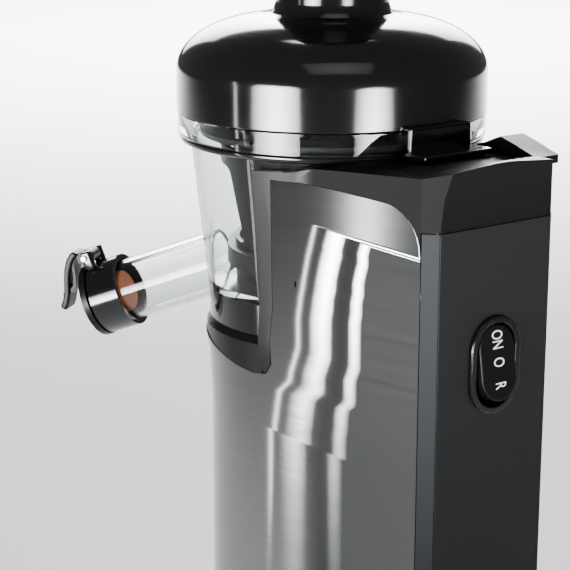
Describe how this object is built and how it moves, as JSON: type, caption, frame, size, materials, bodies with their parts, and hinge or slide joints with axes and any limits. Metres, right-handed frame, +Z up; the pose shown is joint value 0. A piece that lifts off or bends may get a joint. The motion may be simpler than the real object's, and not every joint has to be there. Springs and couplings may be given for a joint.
{
  "type": "slow juicer",
  "caption": "Upright slow juicer: steel-wrapped motor body, clear bowl with juice spout, strainer, brush, feed screw and domed lid.",
  "frame": {"origin": "under the middle of the object's box, on the surface the feet stand on", "axes": "+Z up along the drive axis, +Y towards the switch panel, +X towards the side that the juice spout leans to"},
  "size_m": [0.1534, 0.2216, 0.3803],
  "materials": {
    "gloss_black": "polished",
    "matt_black": "fine textured",
    "brushed_steel": "horizontally brushed",
    "clear_plastic": "clear moulded",
    "grey_plastic": "satin",
    "orange_silicone": "satin",
    "black_rubber": "matt",
    "machined_steel": "machined",
    "copper": "enamelled wire",
    "circuit_board": "coated"
  },
  "bodies": {
    "base": {"steel_shell": "brushed_steel", "back_panel": "matt_black", "corner_strip_right": "gloss_black", "corner_strip_left": "gloss_black", "top_cover": "gloss_black", "bowl_platform": "gloss_black", "base_plate": "matt_black", "foot_front_left": "black_rubber", "foot_front_right": "black_rubber", "foot_rear_left": "black_rubber", "foot_rear_right": "black_rubber", "cord_inlet": "matt_black", "motor_can": "machined_steel", "motor_winding": "copper", "motor_end_bell": "machined_steel", "motor_bearing": "machined_steel", "gearbox_housing": "matt_black", "gearbox_cover": "matt_black", "output_bearing": "machined_steel", "control_board": "circuit_board", "capacitor": "gloss_black", "relay": "grey_plastic", "lid_safety_switch": "matt_black", "switch_bezel": "gloss_black", "switch_body": "matt_black", "base_screw_front": "machined_steel", "base_screw_left": "machined_steel", "base_screw_right": "machined_steel"},
    "bowl": {"juice_bowl": "clear_plastic", "bowl_ring": "gloss_black", "bowl_base": "gloss_black", "bowl_shaft_seal": "orange_silicone", "pulp_plug": "orange_silicone", "idler_pin": "machined_steel", "strainer_frame": "grey_plastic", "strainer_mesh": "machined_steel"},
    "auger": {"auger": "grey_plastic"},
    "brush": {"brush_frame": "matt_black"},
    "idler": {"idler_gear": "grey_plastic"},
    "drive": {"drive_shaft": "machined_steel"},
    "layshaft": {"layshaft_gear": "machined_steel"},
    "rotor": {"motor_rotor": "machined_steel"},
    "gasket": {"lid_gasket": "black_rubber"},
    "lid": {"lid": "gloss_black", "lid_bushing": "machined_steel"},
    "pusher": {"pusher": "matt_black"},
    "collar": {"spout_collar": "gloss_black", "flap_pin": "machined_steel"},
    "flap": {"spout_flap": "gloss_black", "flap_seal": "orange_silicone"},
    "rocker": {"switch_rocker": "gloss_black"}
  },
  "joints": [
    {"name": "bowl_lift", "type": "slide", "parent": "base", "child": "bowl", "axis": [0, 0, 1], "range_m": [0, 0.12]},
    {"name": "auger_spin", "type": "hinge", "parent": "bowl", "child": "auger", "pos_m": [-0.0077, -0.00408, 0.2], "axis": [0, 0, 1], "continuous": true},
    {"name": "brush_spin", "type": "hinge", "parent": "bowl", "child": "brush", "pos_m": [-0.0077, -0.00408, 0.2], "axis": [0, 0, 1], "continuous": true},
    {"name": "idler_spin", "type": "hinge", "parent": "bowl", "child": "idler", "pos_m": [0.0118, -0.00408, 0.189], "axis": [0, 0, 1], "continuous": true},
    {"name": "drive_shaft_spin", "type": "hinge", "parent": "base", "child": "drive", "pos_m": [-0.0077, -0.00408, 0.15], "axis": [0, 0, 1], "continuous": true},
    {"name": "layshaft_spin", "type": "hinge", "parent": "base", "child": "layshaft", "pos_m": [-0.0077, 0.02592, 0.12], "axis": [0, 0, 1], "continuous": true},
    {"name": "rotor_spin", "type": "hinge", "parent": "base", "child": "rotor", "pos_m": [-0.0077, -0.00408, 0.06], "axis": [0, 0, 1], "continuous": true},
    {"name": "lid_lift", "type": "slide", "parent": "bowl", "child": "gasket", "axis": [0, 0, 1], "range_m": [0, 0.09]},
    {"name": "lid_turn", "type": "hinge", "parent": "gasket", "child": "lid", "pos_m": [-0.0077, -0.00408, 0.262], "axis": [0, 0, 1], "range_deg": [-30, 0]},
    {"name": "pusher_slide", "type": "slide", "parent": "lid", "child": "pusher", "axis": [0, 0, 1], "range_m": [0, 0.06]},
    {"name": "collar_pull", "type": "slide", "parent": "bowl", "child": "collar", "axis": [0.5695, -0.7421, -0.3535], "range_m": [0, 0.02]},
    {"name": "flap_hinge", "type": "hinge", "parent": "collar", "child": "flap", "pos_m": [0.06397, -0.09749, 0.18676], "axis": [-0.7934, -0.6088, 0], "range_deg": [0, 95]},
    {"name": "rocker_tilt", "type": "hinge", "parent": "base", "child": "rocker", "pos_m": [-0.0077, 0.09982, 0.1702], "axis": [-1, 0, 0], "range_deg": [0, 18]}
  ],
  "couplings": [
    {"joint": "brush_spin", "follows": "auger_spin", "ratio": -0.44444},
    {"joint": "idler_spin", "follows": "auger_spin", "ratio": -1.6},
    {"joint": "drive_shaft_spin", "follows": "auger_spin", "ratio": 1},
    {"joint": "layshaft_spin", "follows": "auger_spin", "ratio": -3},
    {"joint": "rotor_spin", "follows": "auger_spin", "ratio": 9}
  ]
}
